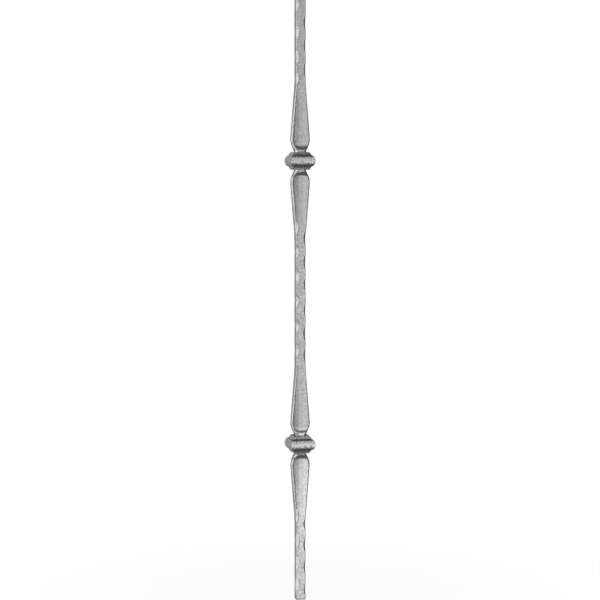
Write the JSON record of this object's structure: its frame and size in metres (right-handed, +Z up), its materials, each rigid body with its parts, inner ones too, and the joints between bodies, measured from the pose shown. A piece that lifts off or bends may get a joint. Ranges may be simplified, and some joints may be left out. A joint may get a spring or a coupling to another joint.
{
  "type": "wrought iron baluster",
  "caption": "Square iron stair baluster with hammered corners, spread flat into leaves above and below square forged collars, for fixing upright between two rails.",
  "frame": {"origin": "centre of the bar's bottom end face", "axes": "+Z up along the bar to its top end, X across the wide leaves, -Y towards the front"},
  "size_m": [0.0386, 0.0386, 0.9],
  "materials": {
    "forged_bar": "raw forged iron, wire brushed grey with a mottled skin and brighter hammered corners",
    "forged_collar": "raw forged iron, wire brushed grey with small hammer marks, darker in the hollows"
  },
  "bodies": {
    "root": {"bar": "forged_bar", "lower_collar": "forged_collar", "upper_collar": "forged_collar"}
  },
  "joints": []
}
